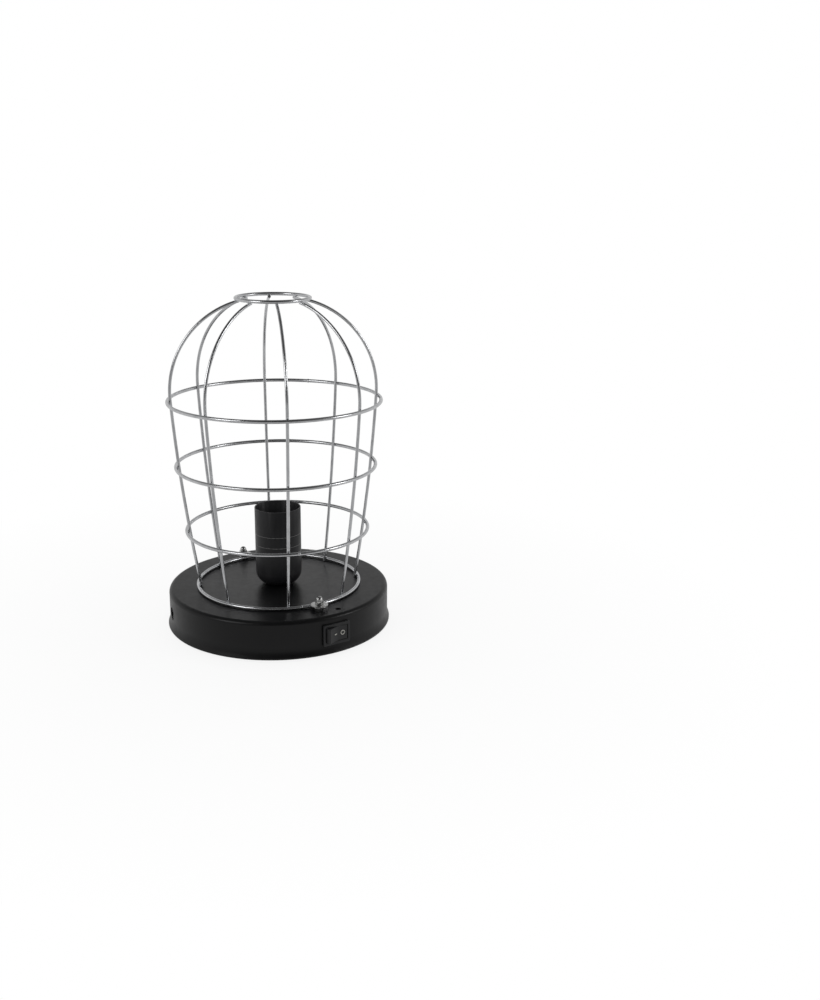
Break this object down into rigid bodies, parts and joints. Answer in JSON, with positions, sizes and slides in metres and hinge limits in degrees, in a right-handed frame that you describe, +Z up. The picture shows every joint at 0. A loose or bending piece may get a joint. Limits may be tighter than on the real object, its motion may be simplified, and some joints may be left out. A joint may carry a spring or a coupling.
{
  "type": "infrared heat therapy lamp",
  "caption": "Table lamp for a screw-in infrared bulb: round black steel base with a rocker switch, a lampholder cup and a domed wire cage clamped over it.",
  "frame": {"origin": "on the surface that the lamp stands on, under the centre of its round base", "axes": "+Z up along the axis of the base, cup and cage; -Y is the front, towards the clamp beside the switch; +X is to the right from the front"},
  "size_m": [0.224, 0.2284, 0.3288],
  "materials": {
    "black_enamel": "satin",
    "plated_wire": "bright plated",
    "plated_hardware": "bright plated",
    "steel": "zinc plated",
    "brass": "drawn",
    "porcelain": "glazed",
    "black_moulding": "moulded",
    "white_moulding": "moulded",
    "rubber": "matt",
    "brown_insulation": "satin",
    "blue_insulation": "satin",
    "green_insulation": "satin"
  },
  "bodies": {
    "base": {"base_pan": "black_enamel", "holder_cup": "black_enamel", "clamp_screws": "steel", "threaded_nipple": "steel", "nipple_nuts": "steel", "nipple_washers": "steel", "holder_bridge": "steel", "holder_screws": "steel", "cover_brackets": "steel", "cover_screws": "steel", "terminal_bracket": "steel", "terminal_block_screws": "steel", "earth_screw": "steel", "earth_tag": "steel", "thread_shell": "brass", "centre_contact": "brass", "holder_terminals": "brass", "switch_terminals": "brass", "spade_receptacles": "brass", "terminal_grub_screws": "brass", "porcelain_body": "porcelain", "switch_housing": "black_moulding", "bottom_cover": "black_moulding", "terminal_block": "white_moulding", "rubber_feet": "rubber", "live_wire": "brown_insulation", "switched_wire": "brown_insulation", "neutral_wire": "blue_insulation", "earth_wire": "green_insulation"},
    "rocker": {"rocker": "black_moulding", "switch_plunger": "white_moulding", "plunger_spring": "steel"},
    "blade": {"contact_blade": "brass"},
    "cage": {"foot_ring": "plated_wire", "lower_hoop": "plated_wire", "middle_hoop": "plated_wire", "upper_hoop": "plated_wire", "top_ring": "plated_wire", "cage_rib_1": "plated_wire", "cage_rib_2": "plated_wire", "cage_rib_3": "plated_wire", "cage_rib_4": "plated_wire", "cage_rib_5": "plated_wire", "cage_rib_6": "plated_wire", "cage_rib_7": "plated_wire", "cage_rib_8": "plated_wire", "clamp_washers": "plated_hardware"},
    "front_nut": {"front_cap_nut": "plated_hardware"},
    "rear_nut": {"rear_cap_nut": "plated_hardware"}
  },
  "joints": [
    {"name": "rocker_tip", "type": "hinge", "parent": "base", "child": "rocker", "pos_m": [0.00571, -0.10885, 0.0218], "axis": [0, 0, -1], "range_deg": [0, 22]},
    {"name": "blade_tip", "type": "hinge", "parent": "base", "child": "blade", "pos_m": [0.00511, -0.09747, 0.0218], "axis": [0, 0, 1], "range_deg": [0, 12]},
    {"name": "cage_lift", "type": "slide", "parent": "base", "child": "cage", "axis": [0, 0, 1], "range_m": [0, 0.25]},
    {"name": "front_nut_turn", "type": "hinge", "parent": "cage", "child": "front_nut", "pos_m": [0, -0.0875, 0.048], "axis": [0, 0, 1], "continuous": true},
    {"name": "rear_nut_turn", "type": "hinge", "parent": "cage", "child": "rear_nut", "pos_m": [0, 0.0875, 0.048], "axis": [0, 0, 1], "continuous": true}
  ],
  "couplings": [
    {"joint": "blade_tip", "follows": "rocker_tip", "ratio": 0.5454}
  ]
}
